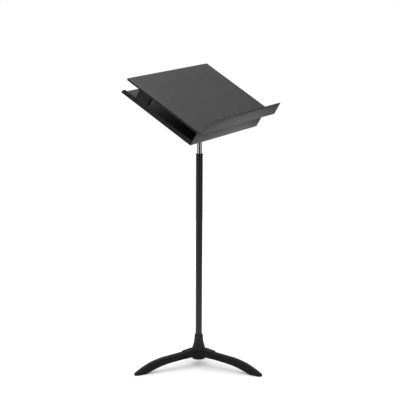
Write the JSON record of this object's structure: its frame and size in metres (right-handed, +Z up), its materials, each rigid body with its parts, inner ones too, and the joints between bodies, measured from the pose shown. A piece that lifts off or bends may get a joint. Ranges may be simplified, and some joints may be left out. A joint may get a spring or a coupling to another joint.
{
  "type": "music stand",
  "caption": "Two-tier orchestra music stand: tilting upper desk over a score tray, telescopic friction post and three-legged base.",
  "frame": {"origin": "on the floor, under the middle of the whole stand's bounding box; the post's axis is 42.9 mm behind it along +Y", "axes": "+Z up, +X along the desk's width (to the player's right), the player stands on the -Y side"},
  "size_m": [0.508, 0.4113, 1.0118],
  "materials": {
    "black_powder_coat": "fine-textured satin black powder coat on sheet steel",
    "black_enamel": "satin black enamel on the outer tube",
    "black_casting": "satin black coat on the hub, the legs and the mast head",
    "chrome": "polished chrome plate",
    "zinc_steel": "bright zinc plate",
    "black_plastic": "moulded, lightly textured",
    "nylon": "natural, smooth",
    "rubber": "matt black"
  },
  "bodies": {
    "base": {"base_bolt": "zinc_steel", "base_hub": "black_casting", "base_tube_plug": "zinc_steel", "base_washer": "zinc_steel", "foot_pad_front": "rubber", "foot_pad_rear_left": "rubber", "foot_pad_rear_right": "rubber", "leg_front": "black_casting", "leg_rear_left": "black_casting", "leg_rear_right": "black_casting", "leg_screw_front_1": "zinc_steel", "leg_screw_front_2": "zinc_steel", "leg_screw_rear_left_1": "zinc_steel", "leg_screw_rear_left_2": "zinc_steel", "leg_screw_rear_right_1": "zinc_steel", "leg_screw_rear_right_2": "zinc_steel", "neck_sleeve": "black_plastic", "outer_tube": "black_enamel", "post_bushing": "black_plastic"},
    "slider": {"clutch_body": "black_plastic", "clutch_friction_sleeve": "nylon", "clutch_spring_washer": "zinc_steel"},
    "mast": {"inner_tube": "chrome", "head_pin": "zinc_steel", "clutch_plug": "zinc_steel", "clutch_screw": "zinc_steel", "mast_head": "black_casting"},
    "desk": {"bracket_rivet_1": "black_powder_coat", "bracket_rivet_2": "black_powder_coat", "bracket_rivet_3": "black_powder_coat", "bracket_rivet_4": "black_powder_coat", "friction_washer_left": "nylon", "friction_washer_right": "nylon", "lip_rivet_1": "black_powder_coat", "lip_rivet_2": "black_powder_coat", "lip_rivet_3": "black_powder_coat", "side_strap_left": "black_powder_coat", "side_strap_right": "black_powder_coat", "spring_washer_left": "zinc_steel", "spring_washer_right": "zinc_steel", "storage_tray": "black_powder_coat", "strap_side_rivet_left_1": "black_powder_coat", "strap_side_rivet_left_2": "black_powder_coat", "strap_side_rivet_right_1": "black_powder_coat", "strap_side_rivet_right_2": "black_powder_coat", "strap_top_rivet_left_1": "black_powder_coat", "strap_top_rivet_left_2": "black_powder_coat", "strap_top_rivet_right_1": "black_powder_coat", "strap_top_rivet_right_2": "black_powder_coat", "tilt_bolt": "zinc_steel", "tilt_bracket": "black_powder_coat", "tilt_lock_nut": "zinc_steel", "upper_desk": "black_powder_coat"}
  },
  "joints": [
    {"name": "height", "type": "slide", "parent": "base", "child": "slider", "axis": [0, 0, 1], "range_m": [-0.07, 0.36]},
    {"name": "swivel", "type": "hinge", "parent": "slider", "child": "mast", "pos_m": [0, 0.04291, 0.3], "axis": [0, 0, 1], "continuous": true},
    {"name": "desk_tilt", "type": "hinge", "parent": "mast", "child": "desk", "pos_m": [0, 0.04291, 0.8373], "axis": [1, 0, 0], "range_deg": [-30.2, 52]}
  ]
}
